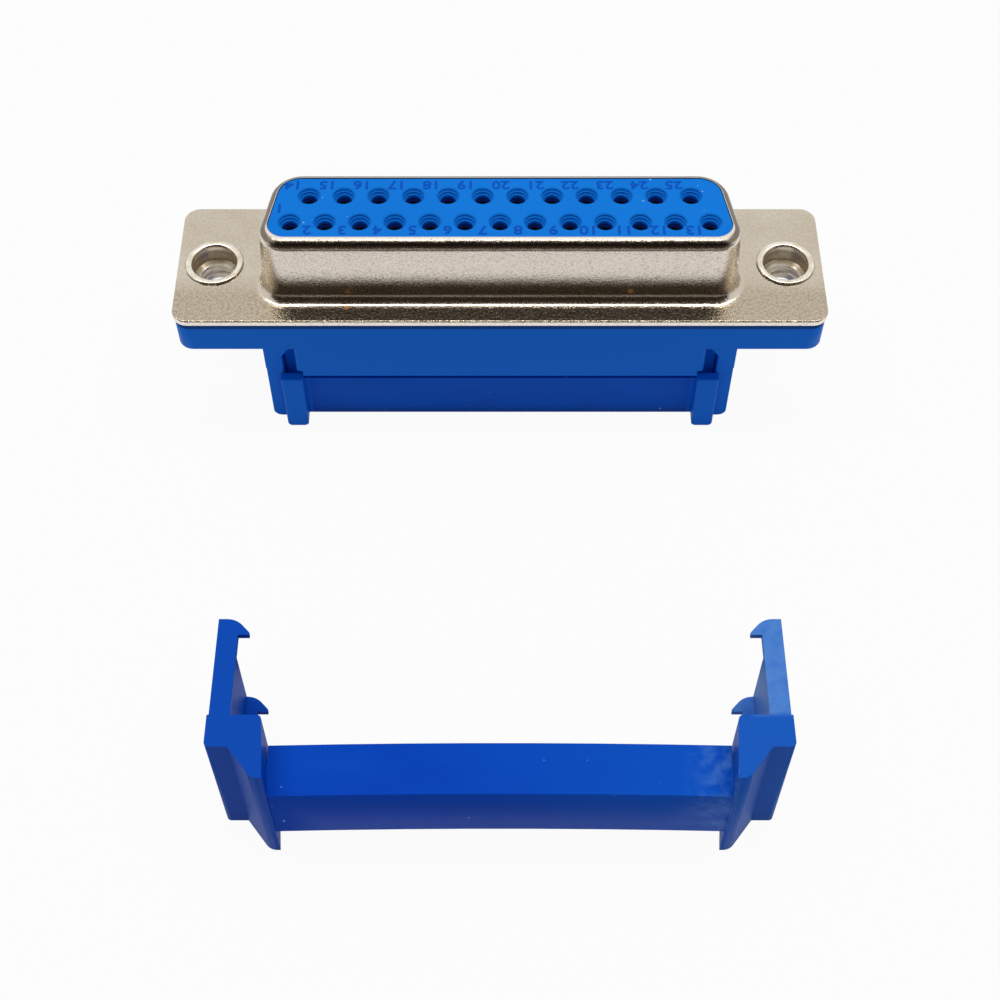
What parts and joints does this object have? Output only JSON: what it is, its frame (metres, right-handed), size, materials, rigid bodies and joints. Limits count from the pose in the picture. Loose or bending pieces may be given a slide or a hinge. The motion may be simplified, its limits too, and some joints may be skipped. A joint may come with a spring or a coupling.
{
  "type": "idc d-sub connector",
  "caption": "D-shaped socket connector for flat ribbon cable, with metal front shell, insulation displacement forks, press-on cover and a strain relief clip lying loose in front.",
  "frame": {"origin": "midway between the two mounting holes, on the front face of the metal flange", "axes": "+X along the connector through both mounting holes, +Z out of the mating face, -Y towards the side with the longer contact row and the loose strain relief"},
  "size_m": [0.053, 0.0518, 0.0203],
  "materials": {
    "shell_nickel": "nickel plate, fine satin grain",
    "insert_nickel": "bright nickel plate, turned",
    "housing_blue": "moulded blue, satin",
    "cover_blue": "moulded blue, satin",
    "relief_blue": "moulded blue, satin, lightly scuffed",
    "contact_tin": "tin plate on the forks"
  },
  "bodies": {
    "connector": {"front_shell": "shell_nickel", "housing": "housing_blue", "strain_relief": "relief_blue", "threaded_insert_left": "insert_nickel", "threaded_insert_right": "insert_nickel", "contact_01": "contact_tin", "contact_02": "contact_tin", "contact_03": "contact_tin", "contact_04": "contact_tin", "contact_05": "contact_tin", "contact_06": "contact_tin", "contact_07": "contact_tin", "contact_08": "contact_tin", "contact_09": "contact_tin", "contact_10": "contact_tin", "contact_11": "contact_tin", "contact_12": "contact_tin", "contact_13": "contact_tin", "contact_14": "contact_tin", "contact_15": "contact_tin", "contact_16": "contact_tin", "contact_17": "contact_tin", "contact_18": "contact_tin", "contact_19": "contact_tin", "contact_20": "contact_tin", "contact_21": "contact_tin", "contact_22": "contact_tin", "contact_23": "contact_tin", "contact_24": "contact_tin", "contact_25": "contact_tin"},
    "cover": {"cover": "cover_blue"}
  },
  "joints": [
    {"name": "cover_slide", "type": "slide", "parent": "connector", "child": "cover", "axis": [0, 0, 1], "range_m": [-0.001, 0.0008]}
  ]
}
